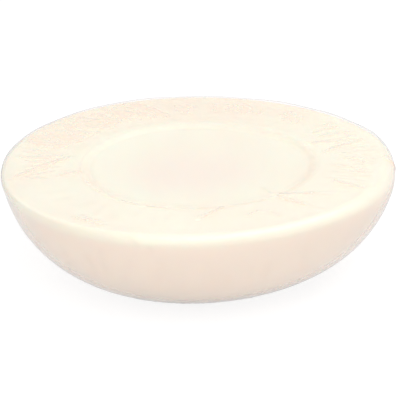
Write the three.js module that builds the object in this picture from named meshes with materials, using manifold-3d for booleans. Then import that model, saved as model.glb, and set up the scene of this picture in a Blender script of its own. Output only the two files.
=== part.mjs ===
// A refill puck of hard shaving soap, sealed in clear shrink film. The puck is turned: a flat foot, a
// bowl-shaped belly that fits the hollow of a shaving bowl, a rounded rim and a shallow dish in the top
// where the brush is loaded. The film is two webs, one over the top and one under the foot, joined by a
// welded bead that runs round the belly. Millimetres, +Z up, origin under the centre of the wrapped foot.
import * as THREE from "three";
import { mergeVertices } from "three/addons/utils/BufferGeometryUtils.js";
import Module from "manifold-3d";

// The soap.
const rimRadius = 42; // the widest radius
const puckHeight = 22.6;
const bellyRadius = 25; // of the arc that the belly follows in section
const rimRounding = 1.8;
const dishRadius = 25.2; // at the dish's upper edge
const dishWallWidth = 2.2; // of the sloping wall, in plan
const dishWallDepth = 0.7;
const dishHollow = 0.7; // how much further the dish's floor sinks towards the middle

// The film.
const filmThickness = 0.05;
const filmClearance = 0.05; // from the soap to the film on it
const weldHeight = 0.6; // of the bead's middle, above the soap's foot
const weldWidth = 0.9; // along the belly
const weldThickness = 0.2;
const weldCornerWidth = 0.16; // how far each outer corner is melted back, along the belly
const weldCornerDepth = 0.06; // and inwards
const weldGap = 0.02; // from a web's edge to the bead it is fused to

// Pinholes that let the air out while the film shrank, by distance outside the dish's edge and by
// bearing from +X in degrees.
const ventRadius = 0.6;
const vents = [
  { outsideDish: 1.2, bearing: -54 },
  { outsideDish: 0.1, bearing: 17 },
  { outsideDish: 7.6, bearing: -90 },
];

// How finely the curves are cut.
const turnSteps = 64;
const lowerBellySteps = 4;
const upperBellySteps = 12;
const roundingSteps = 6;
const dishWallSteps = 4;
const dishFloorSteps = 5;
const ventSides = 16;
const coincident = 1e-6; // points nearer than this are one point

// In section the belly is an arc that leaves the foot level and runs smoothly into the rim's rounding.
// Where the puck is too tall for that, an upright side lies between the two. The foot takes what is left.
const roundingCentre = new THREE.Vector2(rimRadius - rimRounding, puckHeight - rimRounding);
const centreDrop = Math.max(0, bellyRadius - roundingCentre.y);
const sideAngle = Math.acos(centreDrop / (bellyRadius - rimRounding));
const footRadius = roundingCentre.x - (bellyRadius - rimRounding) * Math.sin(sideAngle);

const weldAngle = Math.acos(1 - weldHeight / bellyRadius);
const weldHalfAngle = weldWidth / 2 / bellyRadius;
const weldGapAngle = weldGap / bellyRadius;

// The soap's and the film's sections are cut at the same angles, so that their facets stay parallel and
// the film keeps its clearance all round.
const lowerBellyAngles = evenSteps(0, weldAngle - weldHalfAngle - weldGapAngle, lowerBellySteps);
const weldAngles = evenSteps(weldAngle - weldHalfAngle, weldAngle + weldHalfAngle, 2);
const upperBellyAngles = evenSteps(
  weldAngle + weldHalfAngle + weldGapAngle,
  sideAngle,
  upperBellySteps,
);

// The numbers from first to last in equal steps, both included.
function evenSteps(first, last, steps) {
  return Array.from({ length: steps + 1 }, (_, i) => first + ((last - first) * i) / steps);
}

// Points of the belly's arc at these angles from its lowest point, moved outwards by offset.
function bellyPoints(angles, offset) {
  return angles.map(
    (angle) =>
      new THREE.Vector2(
        footRadius + (bellyRadius + offset) * Math.sin(angle),
        bellyRadius - (bellyRadius + offset) * Math.cos(angle),
      ),
  );
}

// Points of the rim's rounding from the belly's end up to the level top, moved outwards by offset.
function roundingPoints(offset) {
  return evenSteps(sideAngle - Math.PI / 2, Math.PI / 2, roundingSteps).map(
    (angle) =>
      new THREE.Vector2(
        roundingCentre.x + (rimRounding + offset) * Math.cos(angle),
        roundingCentre.y + (rimRounding + offset) * Math.sin(angle),
      ),
  );
}

// The dish from its upper edge to the axis: a wall in an S-curve, level at both ends, and then a floor
// that sinks gently to the middle.
function dishPoints() {
  const floorRadius = dishRadius - dishWallWidth;
  const floorEdge = puckHeight - dishWallDepth;
  const wall = evenSteps(0, 1, dishWallSteps).map(
    (share) =>
      new THREE.Vector2(
        dishRadius - dishWallWidth * share,
        puckHeight - dishWallDepth * (0.5 - 0.5 * Math.cos(Math.PI * share)),
      ),
  );
  const floor = evenSteps(1, 0, dishFloorSteps).map(
    (share) => new THREE.Vector2(floorRadius * share, floorEdge - dishHollow * (1 - share ** 2)),
  );
  return [...wall, ...floor];
}

// A section in (radius, height) turned about the axis, as an upright geometry. Neighbouring stretches
// of a section share their end point, so a point that repeats the one before it is left out.
function turned(section) {
  const points = section.filter(
    (point, i) => i === 0 || point.distanceTo(section[i - 1]) > coincident,
  );
  const geometry = new THREE.LatheGeometry(points, turnSteps);
  geometry.rotateX(Math.PI / 2);
  return geometry;
}

function soapGeometry() {
  const section = [
    new THREE.Vector2(0, 0),
    ...bellyPoints([...lowerBellyAngles, ...weldAngles, ...upperBellyAngles], 0),
    ...roundingPoints(0),
    ...dishPoints(),
  ];
  return turned(section);
}

// The web over the top: down the belly as far as the bead, and straight across the dish.
function upperWebGeometry() {
  const skin = (offset) => [
    ...bellyPoints(upperBellyAngles, offset),
    ...roundingPoints(offset),
    new THREE.Vector2(0, puckHeight + offset),
  ];
  const inside = skin(filmClearance);
  const outside = skin(filmClearance + filmThickness);
  return turned([...inside.reverse(), ...outside]);
}

// The web under the foot, up the belly as far as the bead.
function lowerWebGeometry() {
  const skin = (offset) => [
    new THREE.Vector2(0, -offset),
    ...bellyPoints(lowerBellyAngles, offset),
  ];
  const inside = skin(filmClearance);
  const outside = skin(filmClearance + filmThickness);
  return turned([...outside, ...inside.reverse()]);
}

// The bead, a flat cord whose outer corners are melted round.
function weldBeadGeometry() {
  const [lower, middle, upper] = weldAngles;
  const corner = weldCornerWidth / bellyRadius;
  const shoulder = filmClearance + weldThickness - weldCornerDepth;
  const section = [
    ...bellyPoints([lower], filmClearance),
    ...bellyPoints([lower], shoulder),
    ...bellyPoints([lower + corner, middle, upper - corner], filmClearance + weldThickness),
    ...bellyPoints([upper], shoulder),
    ...bellyPoints([upper, middle, lower], filmClearance),
  ];
  return turned(section);
}

const wasm = await Module();
wasm.setup();

// A closed geometry as a solid, and a solid as a geometry.
function solidOf(geometry) {
  const bare = geometry.clone();
  bare.deleteAttribute("normal");
  bare.deleteAttribute("uv");
  const merged = mergeVertices(bare);
  return new wasm.Manifold(
    new wasm.Mesh({
      numProp: 3,
      vertProperties: merged.attributes.position.array,
      triVerts: new Uint32Array(merged.index.array),
    }),
  );
}

function geometryOf(solid) {
  const { vertProperties, triVerts } = solid.getMesh();
  const geometry = new THREE.BufferGeometry();
  geometry.setAttribute("position", new THREE.BufferAttribute(vertProperties, 3));
  geometry.setIndex(new THREE.BufferAttribute(triVerts, 1));
  geometry.computeVertexNormals();
  return geometry;
}

// The upper web with its pinholes cut through.
function ventedWebGeometry() {
  const throughFilm = 2 * (filmClearance + filmThickness);
  let web = solidOf(upperWebGeometry());
  for (const { outsideDish, bearing } of vents) {
    const radius = dishRadius + outsideDish;
    const angle = THREE.MathUtils.degToRad(bearing);
    const pin = new THREE.CylinderGeometry(ventRadius, ventRadius, throughFilm, ventSides);
    pin.rotateX(Math.PI / 2);
    pin.translate(
      radius * Math.cos(angle),
      radius * Math.sin(angle),
      puckHeight + filmClearance + filmThickness / 2,
    );
    web = web.subtract(solidOf(pin));
  }
  return geometryOf(web);
}

const soap = new THREE.MeshStandardMaterial({ color: 0xf8eee0, roughness: 0.45, metalness: 0 });
const film = new THREE.MeshStandardMaterial({
  color: 0xffffff,
  roughness: 0.08,
  metalness: 0,
  transparent: true,
  opacity: 0.15,
});
const weld = new THREE.MeshStandardMaterial({
  color: 0xf4f4f0,
  roughness: 0.25,
  metalness: 0,
  transparent: true,
  opacity: 0.5,
});

function named(name, geometry, material) {
  const mesh = new THREE.Mesh(geometry, material);
  mesh.name = name;
  return mesh;
}

// The foot rests on the lower web, so the whole wrapped puck is raised by the film under it.
const wrappedPuck = new THREE.Group();
wrappedPuck.position.z = filmClearance + filmThickness;
wrappedPuck.add(
  named("soap_puck", soapGeometry(), soap),
  named("film_upper_web", ventedWebGeometry(), film),
  named("film_lower_web", lowerWebGeometry(), film),
  named("film_weld_bead", weldBeadGeometry(), weld),
);

const part = new THREE.Group();
part.add(wrappedPuck);

export default part;
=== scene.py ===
"""A refill puck of hard shaving soap, sealed in clear shrink film, on a plain white sweep.

The cake, the film's two webs and the weld between them are turned bodies. One Geometry Nodes tree
turns each one's half section, and makes it uneven as a cast cake is: out of round, with a slumped
shoulder at one side, a crisper rim at the other and its dish off the axis. The film then gets its
wrinkles, its creases and the pinholes that let the air out while it shrank.
"""

import logging
import math
from dataclasses import dataclass
from enum import Enum
from typing import Any, ClassVar

import bmesh
import bpy
import numpy as np
from mathutils import Matrix, Vector


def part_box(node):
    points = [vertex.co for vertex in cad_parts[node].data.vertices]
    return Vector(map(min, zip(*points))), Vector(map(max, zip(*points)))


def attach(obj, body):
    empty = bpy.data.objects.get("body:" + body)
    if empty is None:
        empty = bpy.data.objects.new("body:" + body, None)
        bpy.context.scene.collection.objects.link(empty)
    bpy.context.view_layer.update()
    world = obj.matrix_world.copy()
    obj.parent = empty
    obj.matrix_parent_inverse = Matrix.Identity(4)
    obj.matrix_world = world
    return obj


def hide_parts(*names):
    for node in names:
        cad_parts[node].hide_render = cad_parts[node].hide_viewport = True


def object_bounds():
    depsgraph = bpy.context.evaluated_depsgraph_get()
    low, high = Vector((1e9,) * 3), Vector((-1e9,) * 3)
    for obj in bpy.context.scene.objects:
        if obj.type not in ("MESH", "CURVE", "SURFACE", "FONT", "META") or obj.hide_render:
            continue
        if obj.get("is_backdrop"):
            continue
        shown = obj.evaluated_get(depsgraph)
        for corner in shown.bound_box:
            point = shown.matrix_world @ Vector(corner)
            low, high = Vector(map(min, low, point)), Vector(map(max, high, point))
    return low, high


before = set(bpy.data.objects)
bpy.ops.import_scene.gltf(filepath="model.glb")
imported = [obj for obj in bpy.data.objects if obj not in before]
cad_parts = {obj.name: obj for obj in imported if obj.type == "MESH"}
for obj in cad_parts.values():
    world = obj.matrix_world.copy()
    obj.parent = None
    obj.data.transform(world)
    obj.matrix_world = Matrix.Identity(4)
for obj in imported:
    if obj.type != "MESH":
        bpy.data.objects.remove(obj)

log = logging.getLogger("shaving_soap_puck")

MM = 0.001
BODY = "root"
HAZE_AND_SHADE = "haze_and_shade"

Colour = tuple[float, float, float]
Range = tuple[float, float]
ByBearing = tuple[tuple[float, float], ...]


def from_display(red: int, green: int, blue: int) -> Colour:
    """Turns a display colour into the linear one that shaders take.

    Args:
        red: The display colour's red, from 0 to 255.
        green: Its green.
        blue: Its blue.

    Returns:
        The linear colour, each part from 0 to 1.
    """

    def linear(level: int) -> float:
        """One part of the colour, by the display standard's curve."""
        share = level / 255
        return share / 12.92 if share <= 0.04045 else ((share + 0.055) / 1.055) ** 2.4

    return linear(red), linear(green), linear(blue)


class Wire:
    """An output socket of a node. Python's operators on it add Math nodes to its graph."""

    def __init__(self, graph: "Graph", socket: bpy.types.NodeSocket) -> None:
        """Keeps the socket and the graph that it belongs to."""
        self.graph = graph
        self.socket = socket

    def math(self, operation: str, *others: "Wire | float") -> "Wire":
        """This value and the others put through one Math operation."""
        return self.graph.maths(operation, self, *others)

    def __add__(self, other: "Wire | float") -> "Wire":
        """The sum."""
        return self.math("ADD", other)

    __radd__ = __add__

    def __mul__(self, other: "Wire | float") -> "Wire":
        """The product."""
        return self.math("MULTIPLY", other)

    __rmul__ = __mul__

    def __sub__(self, other: "Wire | float") -> "Wire":
        """The difference."""
        return self.math("SUBTRACT", other)

    def __rsub__(self, other: float) -> "Wire":
        """The difference, from a number."""
        return self.graph.maths("SUBTRACT", other, self)

    def __truediv__(self, other: "Wire | float") -> "Wire":
        """The quotient."""
        return self.math("DIVIDE", other)

    def __rtruediv__(self, other: float) -> "Wire":
        """The quotient of a number by this."""
        return self.graph.maths("DIVIDE", other, self)

    def __pow__(self, other: "Wire | float") -> "Wire":
        """The power."""
        return self.math("POWER", other)


class Graph:
    """A node tree, of a material, a world or a modifier, that nodes are added to."""

    def __init__(self, tree: bpy.types.NodeTree) -> None:
        """Keeps the tree."""
        self.tree = tree

    def node(
        self,
        kind: str,
        settings: dict[str, Any] | None = None,
        inputs: dict[str | int, Any] | None = None,
    ) -> bpy.types.Node:
        """Adds a node.

        Args:
            kind: The node's type.
            settings: Its own properties, set before its sockets.
            inputs: Its sockets by name or number, each a value or the wire that feeds it.

        Returns:
            The new node.
        """
        made = self.tree.nodes.new(kind)
        for name, value in (settings or {}).items():
            setattr(made, name, value)
        for name, value in (inputs or {}).items():
            if isinstance(value, Wire):
                self.tree.links.new(value.socket, made.inputs[name])
            else:
                made.inputs[name].default_value = value
        return made

    def wire(
        self,
        kind: str,
        settings: dict[str, Any] | None = None,
        inputs: dict[str | int, Any] | None = None,
        output: str | int = 0,
    ) -> Wire:
        """Adds a node as node() does, and returns one of its outputs."""
        return Wire(self, self.node(kind, settings, inputs).outputs[output])

    def maths(self, operation: str, *values: Wire | float) -> Wire:
        """Adds a Math node for an operation on up to three values."""
        return self.wire("ShaderNodeMath", {"operation": operation}, dict(enumerate(values)))

    def parts(self, vector: Wire, axes: str) -> list[Wire]:
        """Splits a vector and returns its parts along these axes."""
        split = self.node("ShaderNodeSeparateXYZ", None, {"Vector": vector})
        return [Wire(self, split.outputs[axis]) for axis in axes]

    def scaled(self, vector: Wire, amount: Wire) -> Wire:
        """Adds the product of a vector and a number."""
        return self.wire("ShaderNodeVectorMath", {"operation": "SCALE"}, {0: vector, "Scale": amount})

    def mixed_colour(
        self, share: Wire | float, first: "Colour | Wire", second: "Colour | Wire"
    ) -> Wire:
        """Adds a mix of two colours.

        Args:
            share: How much of the second colour there is, from 0 to 1.
            first: The colour at 0.
            second: The colour at 1.

        Returns:
            The mixed colour.
        """
        colours = {
            socket: colour if isinstance(colour, Wire) else (*colour, 1)
            for socket, colour in ((6, first), (7, second))
        }
        colours["Factor"] = share
        return self.wire("ShaderNodeMix", {"data_type": "RGBA"}, colours, 2)

    def mixed_shader(self, share: Wire | float, first: Wire, second: Wire) -> Wire:
        """Adds a Mix Shader with the second shader's share."""
        return self.wire("ShaderNodeMixShader", None, {0: share, 1: first, 2: second})

    def matt(self, colour: Colour) -> Wire:
        """Adds a Diffuse shader of one colour."""
        return self.wire("ShaderNodeBsdfDiffuse", None, {"Color": (*colour, 1)})

    def noise(self, size: float, detail: float = 2.0, roughness: float = 0.5) -> Wire:
        """Adds a noise on the object's own coordinates.

        Args:
            size: The width of its largest features, in metres.
            detail: How many finer layers it has.
            roughness: How strong the finer layers are.

        Returns:
            The noise, about 0.5 on average.
        """
        place = self.wire("ShaderNodeTexCoord", output="Object")
        values = {"Vector": place, "Scale": 1 / size, "Detail": detail, "Roughness": roughness}
        return self.wire("ShaderNodeTexNoise", None, values)

    def step(self, value: Wire, low: Wire | float, high: Wire | float) -> Wire:
        """Adds a smooth step of a value from 0 at low to 1 at high."""
        values = {"Value": value, "From Min": low, "From Max": high}
        return self.wire("ShaderNodeMapRange", {"interpolation_type": "SMOOTHSTEP"}, values)


def new_material(name: str) -> tuple[bpy.types.Material, Graph]:
    """Makes a material whose tree is empty, and the graph that fills it."""
    material = bpy.data.materials.new(name)
    material.use_nodes = True
    material.node_tree.nodes.clear()
    return material, Graph(material.node_tree)


def new_object(name: str, data: bpy.types.ID) -> bpy.types.Object:
    """Makes an object of this data and adds it to the scene."""
    made = bpy.data.objects.new(name, data)
    bpy.context.scene.collection.objects.link(made)
    return made


@dataclass(frozen=True)
class SoapFinish:
    """Hard soap: cream, waxy and slightly see-through, with a warmer tone in soft patches.

    Patches are the broad changes of tone, and grain is the faint mottling of the milled soap. The
    belly is painted warmer and a little darker than the top, as painted shade on the side that turns
    away from the lamps, and painted shade, pinkish, darkens the middle of the dish as in a hollow.
    """

    cream: Colour = from_display(249, 246, 228)
    warm: Colour = from_display(249, 240, 223)
    # The belly's colour is painted shade: warmer and darker than the top's cream.
    belly: Colour = from_display(252, 234, 219)
    # Painted shade in the middle of the dish: a darker, pinkish colour round this centre, fading out
    # over these radii.
    blush: Colour = from_display(247, 232, 221)
    blush_share: float = 0.75
    blush_radius: Range = (2 * MM, 20 * MM)
    blush_centre: Range = (-1 * MM, -4 * MM)
    top_height: float = 22 * MM
    belly_height: float = 19.3 * MM
    patch_size: float = 26 * MM
    patch_detail: float = 1.5
    patch_levels: Range = (0.35, 0.65)
    patch_share: float = 0.75
    grain_size: float = 2.2 * MM
    grain_detail: float = 3.0
    grain_strength: float = 0.6
    grain_depth: float = 0.02 * MM
    grain_relief: float = 0.5
    grain_roughness: float = 0.15
    roughness: float = 0.42
    refraction: float = 1.45
    glow: float = 0.35
    glow_reach: Colour = (1.0, 0.55, 0.4)
    glow_depth: float = 2.5 * MM

    def material(self) -> bpy.types.Material:
        """Makes the soap's material."""
        material, graph = new_material("hard_soap")
        patches = graph.step(graph.noise(self.patch_size, self.patch_detail), *self.patch_levels)
        grain = graph.noise(self.grain_size, self.grain_detail, self.grain_strength)
        tone = patches * self.patch_share + grain * (1 - self.patch_share)
        place = graph.wire("ShaderNodeTexCoord", output="Object")
        across, along, height = graph.parts(place, "XYZ")
        # Painted shade on the belly: below the top the colour turns to the belly's warmer, darker one.
        belly_shade_mask = graph.step(height, self.top_height, self.belly_height)
        # Painted shade in the dish's hollow, strongest at its middle.
        off_centre = (
            (across - self.blush_centre[0]) ** 2 + (along - self.blush_centre[1]) ** 2
        ).math("SQRT")
        dish_shade_mask = 1 - graph.step(off_centre, *self.blush_radius)
        top_colour = graph.mixed_colour(
            dish_shade_mask * self.blush_share,
            graph.mixed_colour(tone, self.cream, self.warm),
            self.blush,
        )
        relief = {"Strength": self.grain_relief, "Distance": self.grain_depth, "Height": grain}
        surface = graph.wire(
            "ShaderNodeBsdfPrincipled",
            {"subsurface_method": "RANDOM_WALK"},
            {
                "Base Color": graph.mixed_colour(belly_shade_mask, top_colour, self.belly),
                "Roughness": self.roughness + (grain - 0.5) * self.grain_roughness,
                "Normal": graph.wire("ShaderNodeBump", None, relief),
                "IOR": self.refraction,
                "Subsurface Weight": self.glow,
                "Subsurface Radius": self.glow_reach,
                "Subsurface Scale": self.glow_depth,
            },
        )
        graph.node("ShaderNodeOutputMaterial", None, {"Surface": surface})
        return material


@dataclass(frozen=True)
class FilmFinish:
    """Clear shrink film: almost unseen where it lies flat, milky where it is folded.

    Haze is the share of light that the film scatters: a little everywhere, more in the creases,
    where it is cloudy, and most where the film is seen edge on. The haze is darker and warmer than
    the soap, so in the creases it is partly the film's own milkiness and partly painted shade, and
    the same haze carries the painted shade beside the folds and along the dish's edge.
    """

    name: str = "shrink_film"
    # Darker and warmer than the soap, so the haze also paints shade where it lies.
    haze_colour: Colour = from_display(243, 214, 202)
    edge_colour: Colour = from_display(200, 204, 210)
    flat_haze: float = 0.02
    crease_haze: float = 0.33
    edge_haze: float = 0.4
    edge_levels: Range = (0.74, 1.0)
    cloud_size: float = 3 * MM
    cloud_detail: float = 3.0
    cloud_levels: Range = (0.35, 0.75)
    cloud_share: float = 0.4
    facing_gloss: float = 0.04
    gloss_curve: float = 5.0
    roughness: float = 0.3

    def material(self) -> bpy.types.Material:
        """Makes the film's material, which reads its haze and painted shade from its own attribute."""
        material, graph = new_material(self.name)
        haze_and_shade = graph.wire("ShaderNodeAttribute", {"attribute_name": HAZE_AND_SHADE}, None, "Fac")
        edge_on = graph.wire("ShaderNodeLayerWeight", None, {"Blend": 0.5}, "Facing")
        outside = 1 - graph.wire("ShaderNodeNewGeometry", output="Backfacing")
        edge = graph.step(edge_on, *self.edge_levels)
        cloud = graph.step(graph.noise(self.cloud_size, self.cloud_detail), *self.cloud_levels)
        cloudy = haze_and_shade * ((1 - self.cloud_share) + self.cloud_share * cloud)
        # The haze in the creases is partly the film's own milkiness and partly painted shade.
        haze = self.flat_haze + cloudy * self.crease_haze + edge * self.edge_haze
        gloss = self.facing_gloss + (1 - self.facing_gloss) * edge_on**self.gloss_curve
        clear = graph.wire("ShaderNodeBsdfTransparent")
        milky = graph.mixed_shader(edge, graph.matt(self.haze_colour), graph.matt(self.edge_colour))
        shiny = graph.wire("ShaderNodeBsdfGlossy", None, {"Roughness": self.roughness})
        body = graph.mixed_shader(haze.math("MINIMUM", 1.0) * outside, clear, milky)
        surface = graph.mixed_shader(gloss * outside, body, shiny)
        lit_through = graph.wire("ShaderNodeLightPath", output="Is Shadow Ray")
        seen = graph.mixed_shader(lit_through, surface, clear)
        graph.node("ShaderNodeOutputMaterial", None, {"Surface": seen})
        return material


TURNED_INPUTS: dict[str, tuple[str, ...]] = {
    "NodeSocketGeometry": ("Section",),
    "NodeSocketInt": ("Rows", "Steps Around"),
    "NodeSocketFloat": (
        *("Oval", "Oval Bearing", "Lobes", "Lobes Bearing"),
        *("Slump", "Slump Bearing", "Slump Spread", "Crisp", "Crisp Bearing", "Crisp Spread"),
        *("Shoulder From", "Shoulder To", "Dish Radius", "Rim Radius"),
        *("Swell", "Swell Size", "Level Below"),
    ),
    "NodeSocketVector": ("Dish Shift",),
    "NodeSocketMaterial": ("Material",),
}


@dataclass(frozen=True)
class OutOfRound:
    """How far a turned body is from a true one.

    The oval has two bulges and the lobes have three, as shares of the radius, each with the
    bearing of its first bulge. At one side the shoulder has slumped inwards below the top, and
    at the other the rim is crisper.
    """

    oval: float = 0.0202
    oval_bearing: float = math.radians(-55.3)
    lobes: float = 0.0128
    lobes_bearing: float = 0.0
    slump: float = 2.0 * MM
    slump_bearing: float = math.radians(-14)
    slump_spread: float = math.radians(13)
    crisp: float = 1.3 * MM
    crisp_bearing: float = math.radians(-152)
    crisp_spread: float = math.radians(24)

    def at(self, bearing: np.ndarray) -> np.ndarray:
        """The radius at these bearings, as a share of the true one."""
        oval = self.oval * np.cos(2 * (bearing - self.oval_bearing))
        return 1 + oval + self.lobes * np.cos(3 * (bearing - self.lobes_bearing))

    def inputs(self) -> dict[str, float]:
        """The sizes by the names of the tree's inputs."""
        return {name.replace("_", " ").title(): value for name, value in vars(self).items()}


class Turning:
    """The Geometry Nodes tree that turns half sections, and the pieces made with it."""

    merge_distance = 0.001 * MM
    level_below = 1 * MM
    swell_detail = 1.0
    slump_curve = 2
    crisp_curve = 4

    def __init__(self, section: "Section", out_of_round: OutOfRound) -> None:
        """Builds the tree.

        Args:
            section: The cake's section, whose sizes say where a body changes.
            out_of_round: The uneven shape that every turned piece takes.
        """
        self.section = section
        self.out_of_round = out_of_round
        self.tree = bpy.data.node_groups.new("turned_body", "GeometryNodeTree")
        self.identifiers: dict[str, str] = {}
        for kind, names in TURNED_INPUTS.items():
            for name in names:
                socket = self.tree.interface.new_socket(name, in_out="INPUT", socket_type=kind)
                self.identifiers[name] = socket.identifier
        self.tree.interface.new_socket("Body", in_out="OUTPUT", socket_type="NodeSocketGeometry")
        self._fill(Graph(self.tree))

    def _fill(self, graph: Graph) -> None:
        """Adds the tree's nodes: a grid whose rows are the section and whose columns go round."""
        entry = graph.node("NodeGroupInput")
        given = {name: Wire(graph, entry.outputs[name]) for name in self.identifiers}
        size = {"Vertices X": given["Steps Around"] + 1, "Vertices Y": given["Rows"]}
        grid = graph.wire("GeometryNodeMeshGrid", None, size)
        index = graph.wire("GeometryNodeInputIndex")
        column = (index / given["Rows"]).math("FLOOR")
        row = index - column * given["Rows"]
        bearing = column * math.tau / given["Steps Around"]
        oval = given["Oval"] * ((bearing - given["Oval Bearing"]) * 2).math("COSINE")
        lobes = given["Lobes"] * ((bearing - given["Lobes Bearing"]) * 3).math("COSINE")
        on_section = graph.wire(
            "GeometryNodeSampleIndex",
            {"data_type": "FLOAT_VECTOR", "domain": "POINT"},
            {
                "Geometry": given["Section"],
                "Value": graph.wire("GeometryNodeInputPosition"),
                "Index": row,
            },
            "Value",
        )
        true_radius, height = graph.parts(on_section, "XZ")
        slump = self._slump(graph, given, true_radius, height, bearing)
        radius = true_radius * (1 + oval + lobes) - slump
        across, along = radius * bearing.math("COSINE"), radius * bearing.math("SINE")
        turned = graph.wire("ShaderNodeCombineXYZ", None, {"X": across, "Y": along, "Z": height})
        shift = self._dish_shift(graph, given, true_radius, height)
        body = grid
        for kind, inputs in (
            ("GeometryNodeSetPosition", {"Position": turned, "Offset": shift}),
            ("GeometryNodeMergeByDistance", {"Distance": self.merge_distance}),
            ("GeometryNodeSetPosition", {"Offset": self._swell(graph, given)}),
            ("GeometryNodeSetShadeSmooth", {}),
            ("GeometryNodeRealizeInstances", {}),
            ("GeometryNodeSetMaterial", {"Material": given["Material"]}),
        ):
            body = graph.wire(kind, None, {"Geometry": body, **inputs})
        graph.node("NodeGroupOutput", None, {"Body": body})

    @staticmethod
    def _beside(bearing: Wire, centre: Wire, spread: Wire) -> Wire:
        """1 at the centre bearing, falling to 0 at either side like a bell."""
        around = (bearing - centre + math.pi).math("FLOORED_MODULO", math.tau) - math.pi
        off = around / spread
        return 1 / (off * off * 0.5).math("EXPONENT")

    @classmethod
    def _slump(
        cls, graph: Graph, given: dict[str, Wire], radius: Wire, height: Wire, bearing: Wire
    ) -> Wire:
        """How far the shoulder lies inwards, most at the rim's upper edge.

        Args:
            graph: The tree.
            given: Its inputs by name.
            radius: Each point's distance from the axis in the true section.
            height: Each point's height.
            bearing: Each point's bearing in radians.

        Returns:
            The distance, which is less than 0 where the rim is crisper.
        """
        slumped = cls._beside(bearing, given["Slump Bearing"], given["Slump Spread"])
        crisp = cls._beside(bearing, given["Crisp Bearing"], given["Crisp Spread"])
        lowest, highest = given["Shoulder From"], given["Shoulder To"]
        risen = (height - lowest) / (highest - lowest)
        up = risen.math("MAXIMUM", 0.0).math("MINIMUM", 1.0)
        slump = given["Slump"] * slumped * up**cls.slump_curve
        inwards = slump - given["Crisp"] * crisp * up**cls.crisp_curve
        return inwards * graph.step(radius, given["Dish Radius"], given["Rim Radius"])

    @staticmethod
    def _dish_shift(graph: Graph, given: dict[str, Wire], radius: Wire, height: Wire) -> Wire:
        """The offset of an off-centre dish, which fades out over the margin and spares the belly.

        Args:
            graph: The tree.
            given: Its inputs by name.
            radius: Each point's distance from the axis in the true section.
            height: Each point's height.

        Returns:
            The offset.
        """
        inside = graph.step(radius, given["Rim Radius"], given["Dish Radius"])
        on_top = height.math("GREATER_THAN", given["Shoulder From"])
        return graph.scaled(given["Dish Shift"], inside * on_top)

    @classmethod
    def _swell(cls, graph: Graph, given: dict[str, Wire]) -> Wire:
        """The offset of a soft, uneven surface, which fades out towards a level foot.

        Args:
            graph: The tree.
            given: Its inputs by name.

        Returns:
            The offset.
        """
        place = graph.wire("GeometryNodeInputPosition")
        pattern = {"Vector": place, "Scale": 1 / given["Swell Size"], "Detail": cls.swell_detail}
        noise = graph.wire("ShaderNodeTexNoise", None, pattern)
        (height,) = graph.parts(place, "Z")
        risen = graph.step(height, given["Level Below"], given["Level Below"] * 2)
        amount = (noise - 0.5) * 2 * given["Swell"] * risen
        return graph.scaled(graph.wire("GeometryNodeInputNormal"), amount)

    def turn(
        self,
        name: str,
        section: np.ndarray,
        steps: int,
        material: bpy.types.Material,
        swell: float = 0.0,
        swell_size: float = 10 * MM,
        dish_shift: Range = (0.0, 0.0),
    ) -> bpy.types.Object:
        """Turns a half section into a plain mesh object.

        Args:
            name: The new piece's name.
            section: Points of (radius, height) in metres, with the material to their left.
            steps: How many steps go round.
            material: The piece's material.
            swell: How far the surface rises and falls unevenly.
            swell_size: The width of those swells.
            dish_shift: How far off the axis the body's dish lies, where it has one.

        Returns:
            The piece, at the origin.
        """
        outline = bpy.data.meshes.new(name + "_section")
        outline.from_pydata([(radius, 0, height) for radius, height in section], [], [])
        seed = new_object(name + "_section", outline)
        modifier = seed.modifiers.new("turned", "NODES")
        modifier.node_group = self.tree
        values = {
            **self.out_of_round.inputs(),
            "Rows": len(section),
            "Steps Around": steps,
            "Shoulder From": self.section.top_height - self.section.shoulder_depth,
            "Shoulder To": self.section.top_height,
            "Dish Radius": self.section.dish_radius,
            "Rim Radius": self.section.rounding_centre[0],
            "Swell": swell,
            "Swell Size": swell_size,
            "Level Below": self.level_below,
            "Dish Shift": (*dish_shift, 0),
            "Material": material,
        }
        for given, value in values.items():
            modifier[self.identifiers[given]] = value
        depsgraph = bpy.context.evaluated_depsgraph_get()
        mesh = bpy.data.meshes.new_from_object(seed.evaluated_get(depsgraph))
        seed.modifiers.remove(modifier)
        bpy.data.objects.remove(seed)
        bpy.data.meshes.remove(outline)
        mesh.name = name
        return new_object(name, mesh)


def rows_of(items: bpy.types.bpy_prop_collection, name: str) -> np.ndarray:
    """A property that is a vector, read from all of a mesh's items, one row for each."""
    flat = np.empty(len(items) * 3)
    items.foreach_get(name, flat)
    return flat.reshape(-1, 3)


def move_to(mesh: bpy.types.Mesh, points: np.ndarray) -> None:
    """Moves the mesh's vertices to these points."""
    mesh.vertices.foreach_set("co", points.ravel())
    mesh.update()


def bearings(places: np.ndarray) -> np.ndarray:
    """The bearings of these places from +X, in radians."""
    return np.arctan2(places[:, 1], places[:, 0])


def ripple(bearing: np.ndarray, waves: tuple[tuple[float, int, float], ...]) -> np.ndarray:
    """The sum of waves round the axis, each a height, how often it repeats and where it starts."""
    return sum(height * np.sin(count * bearing + phase) for height, count, phase in waves)


def read_off(table: ByBearing, bearing: np.ndarray) -> np.ndarray:
    """The values that a table by degrees gives at these bearings in radians."""
    return np.interp(np.degrees(bearing), *zip(*table))


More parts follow.
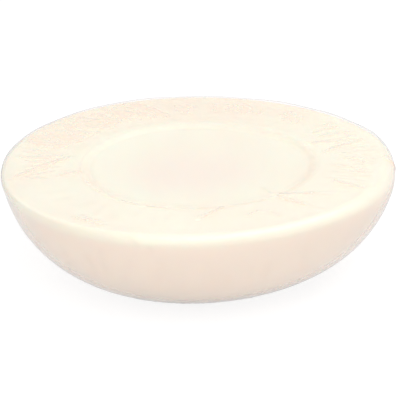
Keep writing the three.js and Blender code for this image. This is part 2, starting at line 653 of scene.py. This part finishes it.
@dataclass
class Section:
    """The cake's half section and the film's lines along it, in metres.

    The belly is an arc that leaves the foot level and runs smoothly into the rim's rounding.
    """

    rim_radius: float
    foot_height: float
    top_height: float
    belly_radius: float = 25 * MM
    rim_rounding: float = 1.8 * MM
    shoulder_depth: float = 4.5 * MM
    dish_radius: float = 25.2 * MM
    dish_wall_width: float = 2.2 * MM
    dish_wall_depth: float = 0.7 * MM
    dish_hollow: float = 0.7 * MM
    dish_shift: Range = (0.4 * MM, -1.8 * MM)

    def __post_init__(self) -> None:
        """Works out the rounding's centre, the belly's end and the foot from the sizes."""
        self.rounding_centre = (
            self.rim_radius - self.rim_rounding,
            self.top_height - self.rim_rounding,
        )
        self.belly_centre_height = self.foot_height + self.belly_radius
        drop = self.belly_centre_height - self.rounding_centre[1]
        reach = self.belly_radius - self.rim_rounding
        self.side_angle = math.acos(drop / reach)
        self.foot_radius = self.rounding_centre[0] - reach * math.sin(self.side_angle)

    def belly(self, angles: np.ndarray, offset: float = 0.0) -> np.ndarray:
        """Points of the belly at these angles from its lowest point, moved outwards by offset."""
        radius = self.belly_radius + offset
        radii = self.foot_radius + radius * np.sin(angles)
        return np.column_stack((radii, self.belly_centre_height - radius * np.cos(angles)))

    def rounding(self, steps: int, offset: float = 0.0) -> np.ndarray:
        """Points of the rim's rounding above the belly's end, up to the level top."""
        angles = np.linspace(self.side_angle - math.pi / 2, math.pi / 2, steps + 1)[1:]
        circle = np.column_stack((np.cos(angles), np.sin(angles)))
        return self.rounding_centre + (self.rim_rounding + offset) * circle

    @staticmethod
    def level(radii: np.ndarray, height: float) -> np.ndarray:
        """Points at these radii and one height."""
        return np.column_stack((radii, np.full(len(radii), height)))

    def dish(self, wall_steps: int, floor_steps: int) -> np.ndarray:
        """Points of the dish's wall, an S-curve, and of its gently hollow floor, to the axis."""
        share = np.linspace(0, 1, wall_steps + 1)
        radii = self.dish_radius - self.dish_wall_width * share
        sunk = self.dish_wall_depth * (0.5 - 0.5 * np.cos(math.pi * share))
        wall = np.column_stack((radii, self.top_height - sunk))
        share = np.linspace(1, 0, floor_steps + 1)[1:]
        edge_radius, edge_height = wall[-1]
        floor = np.column_stack((edge_radius * share, edge_height - self.dish_hollow * (1 - share**2)))
        return np.vstack((wall, floor))


@dataclass
class Cake:
    """The cake of hard soap."""

    section: Section
    finish: SoapFinish = SoapFinish()
    steps_around: int = 320
    belly_steps: int = 26
    rounding_steps: int = 10
    margin_steps: int = 12
    dish_wall_steps: int = 10
    dish_floor_steps: int = 16
    foot_steps: int = 6
    swell: float = 0.03 * MM
    swell_size: float = 9 * MM

    def build(self, turning: Turning) -> bpy.types.Object:
        """Turns the cake and dresses it.

        Args:
            turning: What turns its section.

        Returns:
            The cake.
        """
        section = self.section
        foot = np.linspace(0, section.foot_radius, self.foot_steps + 1)[:-1]
        margin = np.linspace(section.rounding_centre[0], section.dish_radius, self.margin_steps + 1)
        outline = np.vstack(
            (
                section.level(foot, section.foot_height),
                section.belly(np.linspace(0, section.side_angle, self.belly_steps + 1)),
                section.rounding(self.rounding_steps),
                section.level(margin[1:-1], section.top_height),
                section.dish(self.dish_wall_steps, self.dish_floor_steps),
            )
        )
        return turning.turn(
            "soap_cake",
            outline,
            self.steps_around,
            self.finish.material(),
            self.swell,
            self.swell_size,
            section.dish_shift,
        )


class Taper(Enum):
    """Where a crease fades out."""

    BOTH_ENDS = "both ends"
    FAR_END = "far end"


def unrolled(distance: float, bearing: float) -> np.ndarray:
    """The place on the unrolled film at a distance from the axis and a bearing in degrees."""
    angle = math.radians(bearing)
    return np.array((distance * math.cos(angle), distance * math.sin(angle)))


@dataclass(frozen=True)
class Crease:
    """A fold that stands up from the film.

    Each end is a distance from the axis, along the film, in millimetres, and a bearing in
    degrees. The bow is how far the middle lies to the left of the straight line between them.
    """

    start: Range
    end: Range
    height: float = 0.22
    width: float = 0.5
    bow: float = 0.0
    taper: Taper = Taper.BOTH_ENDS
    side_curve: ClassVar[float] = 1.4
    both_ends_curve: ClassVar[int] = 3
    far_end_curve: ClassVar[float] = 1.5
    # Painted shade beside each fold: a broad darker band, this many fold widths wide, full at this fold
    # height.
    veil_reach: ClassVar[float] = 2.6
    veil_height: ClassVar[float] = 0.24

    def rise(self, places: np.ndarray) -> np.ndarray:
        """How far the film stands up at these places.

        Args:
            places: Points of the unrolled film, in millimetres.

        Returns:
            The heights, in millimetres.
        """
        distance, strength = self._ridge(places)
        return self.height * strength * np.exp(-((distance / self.width) ** self.side_curve))

    def veil(self, places: np.ndarray) -> np.ndarray:
        """How much painted shade lies beside the fold at these places, from 0 to 1, as a broad soft
        band.
        """
        distance, strength = self._ridge(places)
        reach = self.width * self.veil_reach
        return self.height / self.veil_height * strength * np.exp(-((distance / reach) ** 2))

    def _ridge(self, places: np.ndarray) -> tuple[np.ndarray, np.ndarray]:
        """The distance from the fold's ridge, and the ridge's strength beside each place.

        Args:
            places: Points of the unrolled film, in millimetres.

        Returns:
            The distances in millimetres, and the strengths from 0 to 1.
        """
        first, last = unrolled(*self.start), unrolled(*self.end)
        along = last - first
        length = float(np.hypot(*along))
        along = along / length
        across = np.array((-along[1], along[0]))
        offset = places - first
        share = np.clip(offset @ along / length, 0, 1)
        beyond = offset @ along - share * length
        sideways = offset @ across - self.bow * 4 * share * (1 - share)
        distance = np.hypot(beyond, sideways)
        if self.taper is Taper.BOTH_ENDS:
            return distance, 1 - np.abs(2 * share - 1) ** self.both_ends_curve
        return distance, 1 - share**self.far_end_curve


@dataclass(frozen=True)
class WrinkleZone:
    """A stretch of film that is gathered into fine wrinkles, which run away from the axis.

    Bearings are in degrees, and everything else is in millimetres. Each wrinkle's height, width
    and step to the next are drawn as shares of the zone's own.
    """

    bearings: Range
    distances: Range
    seed: int
    spacing: float = 2.2
    lengths: Range = (4.0, 10.0)
    height: float = 0.2
    width: float = 0.5
    slant: float = 3.0
    lean: float = 0.0
    height_shares: ClassVar[Range] = (0.45, 1.0)
    width_shares: ClassVar[Range] = (0.8, 2.0)
    step_shares: ClassVar[Range] = (0.35, 1.0)
    bows: ClassVar[Range] = (-0.6, 0.6)

    def creases(self) -> list[Crease]:
        """Scatters the zone's wrinkles side by side along its bearings.

        Returns:
            The wrinkles.
        """
        draw = np.random.default_rng(self.seed)
        nearest, farthest = self.distances
        middle = (nearest + farthest) / 2
        step = math.degrees(self.spacing / middle)
        found = []
        bearing = self.bearings[0]
        while bearing < self.bearings[1]:
            length = draw.uniform(*self.lengths)
            start = draw.uniform(nearest, max(nearest, farthest - length))
            turn = math.degrees((self.lean + draw.uniform(-self.slant, self.slant)) / middle)
            found.append(
                Crease(
                    (start, bearing),
                    (min(start + length, farthest), bearing + turn),
                    self.height * draw.uniform(*self.height_shares),
                    self.width * draw.uniform(*self.width_shares),
                    draw.uniform(*self.bows),
                )
            )
            bearing += step * draw.uniform(*self.step_shares)
        return found


@dataclass(frozen=True)
class Pinhole:
    """A small round hole in the film, with a raised melted edge, in millimetres and degrees."""

    distance: float
    bearing: float
    radius: float = 0.6
    lip_height: float = 0.02
    lip_width: float = 0.5
    clear_width: float = 0.7

    def off(self, places: np.ndarray) -> np.ndarray:
        """How far these places of the unrolled film lie from the hole's middle."""
        return np.hypot(*(places - unrolled(self.distance, self.bearing)).T)

    def rise(self, places: np.ndarray) -> np.ndarray:
        """How far the hole's lip stands up at these places."""
        return self.lip_height * np.exp(-(((self.off(places) - self.radius) / self.lip_width) ** 2))

    def clearing(self, places: np.ndarray) -> np.ndarray:
        """The share of the creases that is left at these places, 0 at the hole's edge."""
        beyond = np.maximum(self.off(places) - self.radius, 0)
        return 1 - np.exp(-((beyond / self.clear_width) ** 2))


@dataclass
class Film:
    """What the film's two webs share: a place on the cake, shaping by folds, and a thickness."""

    section: Section
    weld_angle: float
    thickness: float = 0.05 * MM
    clearance: float = 0.05 * MM

    def __post_init__(self) -> None:
        """Works out how far the film's outer face lies from the soap."""
        self.offset = self.clearance + self.thickness

    @staticmethod
    def unroll(mesh: bpy.types.Mesh, outline: np.ndarray, out_of_round: OutOfRound) -> np.ndarray:
        """Finds each vertex's place on the unrolled film.

        Args:
            mesh: A turned skin.
            outline: The section that it was turned from, starting or ending on the axis.
            out_of_round: The shape that it was turned with.

        Returns:
            The places, in millimetres.
        """
        points = rows_of(mesh.vertices, "co")
        bearing = bearings(points)
        radius = np.hypot(points[:, 0], points[:, 1]) / out_of_round.at(bearing)
        radii, heights = outline.T
        gap = np.hypot(radius[:, None] - radii, points[:, 2][:, None] - heights)
        steps = np.hypot(*np.diff(outline, axis=0).T)
        path = np.concatenate(((0,), np.cumsum(steps)))
        if radii[0] > radii[-1]:
            path = path[-1] - path
        distance = path[gap.argmin(axis=1)] / MM
        return np.column_stack((distance * np.cos(bearing), distance * np.sin(bearing)))

    @staticmethod
    def raise_by(mesh: bpy.types.Mesh, rise: np.ndarray, haze_and_shade: np.ndarray) -> None:
        """Moves the vertices outwards and notes the film's haze and painted shade at each.

        Args:
            mesh: The skin.
            rise: How far each vertex moves along its normal, in millimetres.
            haze_and_shade: From 0 for flat film to 1 for a full crease or full painted shade.
        """
        normals = rows_of(mesh.vertex_normals, "vector")
        move_to(mesh, rows_of(mesh.vertices, "co") + normals * (rise * MM)[:, None])
        attribute = mesh.attributes.new(HAZE_AND_SHADE, "FLOAT", "POINT")
        attribute.data.foreach_set("value", haze_and_shade.astype(np.float32))

    def thicken(self, piece: bpy.types.Object) -> None:
        """Gives the skin its thickness, inwards from its outer face."""
        solid = piece.modifiers.new("thickness", "SOLIDIFY")
        solid.thickness = self.thickness
        solid.offset = -1


@dataclass
class UpperWeb(Film):
    """The film over the top: flat across the dish, and down over the rim to the weld.

    Tables by bearing are in degrees. Slack is how far the film stands off the rim, and gathered is how
    milky it is on the margin, darker at the back, where its haze is partly painted shade. The line and
    band along the dish's edge are painted shade: a thin dark line at the edge and a soft band on the
    dish's wall just inside it.
    """

    finish: FilmFinish = FilmFinish()
    steps_around: int = 520
    dish_rows: int = 8
    fine_from: float = 17 * MM
    fine_rows: int = 52
    rounding_rows: int = 8
    belly_rows: int = 26
    full_crease: float = 0.22
    zones: tuple[WrinkleZone, ...] = (
        WrinkleZone((150, 184), (28, 40), 3, 3.6, (7, 13), 0.2, 0.6, slant=4),
        WrinkleZone((146, 196), (30, 40), 5, 3.8, (3, 8), 0.16, 0.5, slant=5),
        WrinkleZone((100, 152), (27, 39.5), 7, 3.2, (8, 14), 0.24, 0.6, slant=3, lean=5),
        WrinkleZone((104, 150), (29, 40), 11, 3.6, (3, 9), 0.2, 0.55, slant=4, lean=4),
        WrinkleZone((-26, 30), (28, 38.5), 13, 3.4, (5, 10), 0.13, 0.55, slant=3, lean=-1),
        WrinkleZone((-22, 28), (30, 38.5), 17, 3.6, (2, 7), 0.11, 0.5, slant=5),
        WrinkleZone((34, 96), (28, 39), 19, spacing=5.5, height=0.1, width=0.9),
        WrinkleZone((-150, -95), (27, 39), 23, spacing=8.0, height=0.03, width=0.9),
        WrinkleZone((-112, -70), (46, 56), 29, spacing=4.0, lengths=(3, 7), height=0.03),
        WrinkleZone((-180, 180), (43, 58), 31, spacing=9.0, lengths=(3, 9), height=0.03, width=0.8),
        WrinkleZone((-180, 180), (66, 71.5), 37, spacing=3.2, lengths=(3, 5), height=0.12, width=0.8),
    )
    creases: tuple[Crease, ...] = (
        Crease((26.4, -54), (35.7, -39), 0.26, 0.6, 0.5, Taper.FAR_END),
        Crease((26.4, -54), (40.2, -50), 0.24, 0.7, -0.4, Taper.FAR_END),
        Crease((26.4, -54), (38.0, -33), 0.18, 0.6, 0.3, Taper.FAR_END),
        Crease((26.4, -54), (20.7, -51), 0.12, 0.6, 0.2, Taper.FAR_END),
        Crease((32.8, -90), (27.0, -78), 0.24, 0.6, -0.3),
        Crease((32.8, -90), (29.8, -84), 0.14, 0.6, 0.4),
        Crease((34.4, -74), (32.0, -66), 0.16, 0.7, 0.4),
        Crease((32.0, -66), (37.2, -64), 0.12, 0.7, 0.4),
        Crease((41.0, -168), (26.6, 168), 0.26, 0.7, 0.6),
        Crease((31.0, -167), (25.0, -170), 0.2, 0.8, 0.2),
        Crease((25.3, 17), (38.5, 14), 0.2, 0.7, 0.5, Taper.FAR_END),
        Crease((26.3, 2), (37.9, 14), 0.24, 0.6, 0.3),
        Crease((30.8, -26), (39.6, -30), 0.24, 0.9, -0.8),
        Crease((38.7, -131), (39.2, -117), 0.24, 0.5, -0.7),
        Crease((37.0, -130), (37.8, -119), 0.18, 0.5, -0.6),
        Crease((41.6, -110), (43.4, -106), 0.07, 0.35, 0.2),
        Crease((43.4, -104), (44.8, -102), 0.05, 0.35, 0.2),
        Crease((38.8, -3), (44.5, -4.5), 0.3, 0.8, 0.0),
    )
    pinholes: tuple[Pinhole, ...] = (Pinhole(26.4, -54), Pinhole(25.3, 17), Pinhole(32.8, -90))
    rim_distance: float = 40.8
    slack_width: float = 2.2
    slack: ByBearing = (
        *((-180, 0.25), (-150, 0.12), (-20, 0.12), (10, 0.35), (28, 0.75)),
        *((50, 0.5), (90, 0.34), (150, 0.34), (180, 0.25)),
    )
    slack_share: float = 0.7
    slack_waves: tuple[tuple[float, int, float], ...] = ((0.18, 7, 0.6), (0.12, 17, 2.1))
    gather_fade: float = 2.0
    # The margin's haze by bearing: the gathered film's milkiness, and painted shade that darkens the
    # back of the margin.
    gathered: ByBearing = (
        *((-180, 0.1), (-150, 0.0), (-40, 0.0), (-10, 0.1)),
        *((30, 0.3), (90, 0.4), (140, 0.4), (180, 0.1)),
    )
    # The share of the painted shade beside the folds in the film's haze.
    veil_share: float = 0.22
    # Painted shade along the dish's edge: a thin dark line, strongest at the front and sides.
    edge_line_width: float = 0.42
    edge_line: ByBearing = (
        *((-180, 0.5), (-150, 0.75), (-120, 0.85), (-80, 0.8), (-54, 0.6)),
        *((-20, 0.3), (20, 0.3), (60, 0.0), (140, 0.0), (180, 0.5)),
    )
    # Painted shade on the dish's wall: a soft band just inside its edge, mostly at the sides.
    edge_band_width: float = 1.3
    edge_band: ByBearing = (
        *((-180, 0.45), (-150, 0.6), (-115, 0.35), (-80, 0.05), (-40, 0.25)),
        *((0, 0.6), (40, 0.3), (80, 0.0), (150, 0.1), (180, 0.45)),
    )

    def outline(self) -> np.ndarray:
        """The outer skin's half section, from the weld's edge over the rim to the axis."""
        section = self.section
        belly = np.linspace(self.weld_angle, section.side_angle, self.belly_rows + 1)
        fine = np.linspace(section.rounding_centre[0], self.fine_from, self.fine_rows + 1)[1:]
        coarse = np.linspace(self.fine_from, 0, self.dish_rows + 1)[1:]
        return np.vstack(
            (
                section.belly(belly, self.offset),
                section.rounding(self.rounding_rows, self.offset),
                section.level(np.concatenate((fine, coarse)), section.top_height + self.offset),
            )
        )

    def build(self, turning: Turning) -> bpy.types.Object:
        """Turns the web, wrinkles it, pierces it and gives it its thickness.

        Args:
            turning: What turns its section.

        Returns:
            The web.
        """
        outline = self.outline()
        web = turning.turn("film_over_top", outline, self.steps_around, self.finish.material())
        places = self.unroll(web.data, outline, turning.out_of_round)
        folds = [*self.creases, *(fold for zone in self.zones for fold in zone.creases())]
        rise = np.max([fold.rise(places) for fold in (*folds, *self.pinholes)], axis=0)
        # Painted shade: a broad darker band beside each fold.
        veil = np.max([fold.veil(places) for fold in folds], axis=0)
        bearing = bearings(places)
        # Painted shade along the dish's edge and on its wall, and the margin's haze.
        line, band, margin = self._zones_by_dish(places)
        haze_and_shade = rise / self.full_crease + self.veil_share * veil + band
        # The margin's haze is partly painted shade on the back of the margin.
        haze_and_shade = np.maximum(haze_and_shade, line) + margin * read_off(self.gathered, bearing)
        haze_and_shade = np.clip(haze_and_shade, 0, 1)
        for hole in self.pinholes:
            haze_and_shade *= hole.clearing(places)
            rise *= hole.clearing(places)
        self.raise_by(web.data, rise + self._slack(places), haze_and_shade)
        self._pierce(web.data, places)
        self.thicken(web)
        log.info("film_over_top: %d folds", len(folds))
        return web

    def _zones_by_dish(self, places: np.ndarray) -> tuple[np.ndarray, np.ndarray, np.ndarray]:
        """Where painted shade lies at the dish's edge and wall, and where the film lies on the margin.

        Args:
            places: The vertices' places on the unrolled film.

        Returns:
            A thin line of painted shade along the edge, a soft band of it just inside, and the margin,
            each from 0 to 1.
        """
        from_dish = places - np.array(self.section.dish_shift) / MM
        beyond = np.hypot(*from_dish.T) - self.section.dish_radius / MM
        bearing = bearings(from_dish)
        # Painted shade: a thin line along the dish's edge and a soft band on its wall just inside it.
        line = np.exp(-((beyond / self.edge_line_width) ** 2)) * read_off(self.edge_line, bearing)
        inside = np.exp(-(((beyond + self.edge_band_width) / self.edge_band_width) ** 2))
        margin = np.clip(beyond / self.gather_fade, 0, 1) * (np.hypot(*places.T) < self.rim_distance)
        return line, inside * read_off(self.edge_band, bearing), margin

    def _slack(self, places: np.ndarray) -> np.ndarray:
        """How far the film stands off the rim, more where it is drawn out tight."""
        bearing = bearings(places)
        waves = self.slack_share + ripple(bearing, self.slack_waves)
        off_rim = (np.hypot(*places.T) - self.rim_distance) / self.slack_width
        return waves * read_off(self.slack, bearing) * np.exp(-(off_rim**2))

    def _pierce(self, mesh: bpy.types.Mesh, places: np.ndarray) -> None:
        """Opens the pinholes, each with its edge drawn onto a circle.

        Args:
            mesh: The web's skin.
            places: The vertices' places on the unrolled film.
        """
        shape = bmesh.new()
        shape.from_mesh(mesh)
        shape.verts.ensure_lookup_table()
        for hole in self.pinholes:
            centre = unrolled(hole.distance, hole.bearing)
            inside = {shape.verts[number] for number in np.flatnonzero(hole.off(places) < hole.radius)}
            faces = {face for vert in inside for face in vert.link_faces}
            for vert in {vert for face in faces for vert in face.verts} - inside:
                away = places[vert.index] - centre
                pull = hole.radius / float(np.hypot(*away)) - 1
                vert.co += Vector((*(away * pull * MM), 0))
            bmesh.ops.delete(shape, geom=list(faces), context="FACES_ONLY")
        loose = [vert for vert in shape.verts if not vert.link_faces]
        bmesh.ops.delete(shape, geom=loose, context="VERTS")
        edges = [edge for edge in shape.edges if not edge.link_faces]
        bmesh.ops.delete(shape, geom=edges, context="EDGES")
        for edge in shape.edges:
            edge.smooth = not edge.is_boundary
        shape.to_mesh(mesh)
        shape.free()


@dataclass
class LowerWeb(Film):
    """The film under the foot and up the belly to the weld, gathered a little at its edge."""

    finish: FilmFinish = FilmFinish(name="shrink_film_under")
    steps_around: int = 400
    foot_rows: int = 8
    belly_rows: int = 22
    full_crease: float = 0.14
    gathers: WrinkleZone = WrinkleZone(
        (-180, 180), (18.6, 22.3), 41, spacing=2.6, lengths=(2, 3.6), height=0.12, width=0.6
    )

    def build(self, turning: Turning) -> bpy.types.Object:
        """Turns the web, gathers it near the weld and gives it its thickness.

        Args:
            turning: What turns its section.

        Returns:
            The web.
        """
        section = self.section
        floor = section.foot_height - self.offset
        foot = np.linspace(0, section.foot_radius, self.foot_rows + 1)[:-1]
        belly = np.linspace(0, self.weld_angle, self.belly_rows + 1)
        outline = np.vstack((section.level(foot, floor), section.belly(belly, self.offset)))
        web = turning.turn("film_under_foot", outline, self.steps_around, self.finish.material())
        places = self.unroll(web.data, outline, turning.out_of_round)
        rise = np.max([fold.rise(places) for fold in self.gathers.creases()], axis=0)
        self.raise_by(web.data, rise, np.clip(rise / self.full_crease, 0, 1))
        points = rows_of(web.data.vertices, "co")
        points[:, 2] = np.maximum(points[:, 2], floor)
        move_to(web.data, points)
        self.thicken(web)
        return web


@dataclass
class Weld:
    """The cord of melted film that joins the two webs, uneven where the hot wire trimmed it."""

    section: Section
    middle_angle: float
    half_angle: float
    finish: FilmFinish = FilmFinish(
        name="melted_film",
        haze_colour=from_display(236, 232, 222),
        flat_haze=0.55,
        crease_haze=0.0,
        roughness=0.25,
    )
    inner: float = 0.05 * MM
    outer: float = 0.25 * MM
    corner_share: float = 0.55
    steps_around: int = 480
    sides: int = 12
    unevenness: float = 0.025 * MM
    waves: tuple[tuple[float, int, float], ...] = ((0.4, 9, 0.3), (0.35, 23, 1.9), (0.25, 61, 4.0))

    def build(self, turning: Turning) -> bpy.types.Object:
        """Turns the cord and makes its outer side uneven.

        Args:
            turning: What turns its section.

        Returns:
            The cord.
        """
        turn = np.linspace(0, -math.tau, self.sides + 1)
        along, out = (
            np.sign(share) * np.abs(share) ** self.corner_share
            for share in (np.cos(turn), np.sin(turn))
        )
        offsets = (self.inner + self.outer) / 2 + (self.outer - self.inner) / 2 * out
        outline = self.section.belly(self.middle_angle - self.half_angle * along, offsets)
        outline[-1] = outline[0]
        cord = turning.turn("film_weld", outline, self.steps_around, self.finish.material())
        points = rows_of(cord.data.vertices, "co")
        normals = rows_of(cord.data.vertex_normals, "vector")
        outward = (1 - normals[:, 2]) / 2
        rise = self.unevenness * ripple(bearings(points), self.waves) * outward
        move_to(cord.data, points + normals * rise[:, None])
        return cord


@dataclass
class Puck:
    """The wrapped puck: the cake, the film's two webs and the weld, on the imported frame."""

    weld_height: float = 0.6 * MM
    weld_width: float = 0.9 * MM
    weld_gap: float = 0.02 * MM

    def build(self) -> None:
        """Builds every piece where the frame says, and lets it ride on the frame's body."""
        low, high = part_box("soap_puck")
        section = Section((high.x - low.x) / 2, low.z, high.z)
        turning = Turning(section, OutOfRound())
        middle = math.acos(1 - self.weld_height / section.belly_radius)
        half = self.weld_width / 2 / section.belly_radius
        gap = self.weld_gap / section.belly_radius
        for part, node, slot in (
            (Cake(section), "soap_puck", "soap"),
            (UpperWeb(section, middle + half + gap), "film_upper_web", "film"),
            (LowerWeb(section, middle - half - gap), "film_lower_web", "film"),
            (Weld(section, middle, half), "film_weld_bead", "weld"),
        ):
            piece = part.build(turning)
            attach(piece, BODY)
            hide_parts(node)
            log.info("%s stands for %s: %d faces", piece.name, node, len(piece.data.polygons))


@dataclass
class Studio:
    """The white sweep, the soft lights and the camera."""

    floor_radius: float = 2.0
    floor_sides: int = 64
    floor_colour: Colour = (0.88, 0.88, 0.88)
    floor_glow: float = 0.76
    floor_white: float = 1.14
    ambient: float = 0.8
    overhead_power: float = 3.05
    overhead_size: Range = (1.1, 0.45)
    overhead_place: tuple[float, float, float] = (0.18, -0.12, 0.62)
    front_power: float = 0.65
    front_size: Range = (0.9, 0.4)
    front_place: tuple[float, float, float] = (-0.25, -0.66, 0.26)
    camera_elevation: float = 20.8
    camera_roll: float = -2.0
    camera_distance: float = 0.504
    camera_lens: float = 214.2
    camera_near: float = 0.01
    camera_aim: Range = (0.62 * MM, -8.37 * MM)

    def build(self) -> None:
        """Builds the whole set."""
        self._world()
        self._floor()
        self._soft_light("overhead", self.overhead_power, self.overhead_size, self.overhead_place)
        self._soft_light("front", self.front_power, self.front_size, self.front_place)
        self._camera()
        bpy.context.scene.view_settings.view_transform = "Standard"

    @staticmethod
    def _seen_directly(graph: Graph) -> Wire:
        """1 for rays by which the surroundings are seen, straight, mirrored or through glass."""
        path = graph.node("ShaderNodeLightPath")
        camera, glossy, transmission = (
            Wire(graph, path.outputs[f"Is {kind} Ray"]) for kind in ("Camera", "Glossy", "Transmission")
        )
        return camera.math("MAXIMUM", glossy).math("MAXIMUM", transmission)

    def _world(self) -> None:
        """Makes surroundings that are white to look at and light the puck softly."""
        world = bpy.data.worlds.new("white_studio")
        world.use_nodes = True
        world.node_tree.nodes.clear()
        graph = Graph(world.node_tree)
        strength = self.ambient + self._seen_directly(graph) * (1 - self.ambient)
        light = graph.wire("ShaderNodeBackground", None, {"Strength": strength})
        graph.node("ShaderNodeOutputWorld", None, {"Surface": light})
        bpy.context.scene.world = world

    def _floor(self) -> None:
        """Lays a round floor that looks white but keeps the puck's shadow."""
        shape = bmesh.new()
        bmesh.ops.create_circle(
            shape, cap_ends=True, segments=self.floor_sides, radius=self.floor_radius
        )
        mesh = bpy.data.meshes.new("floor")
        shape.to_mesh(mesh)
        shape.free()
        floor = new_object("floor", mesh)
        material, graph = new_material("white_floor")
        glow = graph.wire("ShaderNodeEmission", None, {"Strength": self.floor_white})
        share = self._seen_directly(graph) * self.floor_glow
        surface = graph.mixed_shader(share, graph.matt(self.floor_colour), glow)
        graph.node("ShaderNodeOutputMaterial", None, {"Surface": surface})
        mesh.materials.append(material)
        floor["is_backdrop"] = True

    @staticmethod
    def _soft_light(
        name: str, power: float, size: Range, place: tuple[float, float, float]
    ) -> None:
        """Hangs a soft light that faces the puck.

        Args:
            name: The light's name.
            power: Its power in watts.
            size: Its width and its depth.
            place: Where it hangs.
        """
        light = bpy.data.lights.new(name, "AREA")
        light.energy = power
        light.shape = "RECTANGLE"
        light.size, light.size_y = size
        lamp = new_object(name, light)
        lamp.location = place
        lamp.rotation_euler = (-Vector(place)).to_track_quat("-Z", "Y").to_euler()

    def _camera(self) -> None:
        """Sets the camera up in front of the puck, a little above it."""
        _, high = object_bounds()
        top = Vector((0, 0, high.z))
        elevation = math.radians(self.camera_elevation)
        back = Vector((0, -math.cos(elevation), math.sin(elevation)))
        up = Vector((0, math.sin(elevation), math.cos(elevation)))
        across, lift = self.camera_aim
        aim = top + Vector((across, 0, 0)) + up * lift
        data = bpy.data.cameras.new("camera")
        data.lens = self.camera_lens
        data.clip_start = self.camera_near
        camera = new_object("camera", data)
        camera.location = top + back * self.camera_distance
        looking = (aim - camera.location).to_track_quat("-Z", "Y").to_matrix().to_4x4()
        roll = Matrix.Rotation(math.radians(self.camera_roll), 4, "Z")
        camera.matrix_world = Matrix.Translation(camera.location) @ looking @ roll
        bpy.context.scene.camera = camera


def main() -> None:
    """Builds the studio and the puck."""
    logging.basicConfig(level=logging.INFO, format="%(name)s: %(message)s")
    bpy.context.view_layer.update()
    Studio().build()
    Puck().build()


if __name__ == "__main__":
    main()
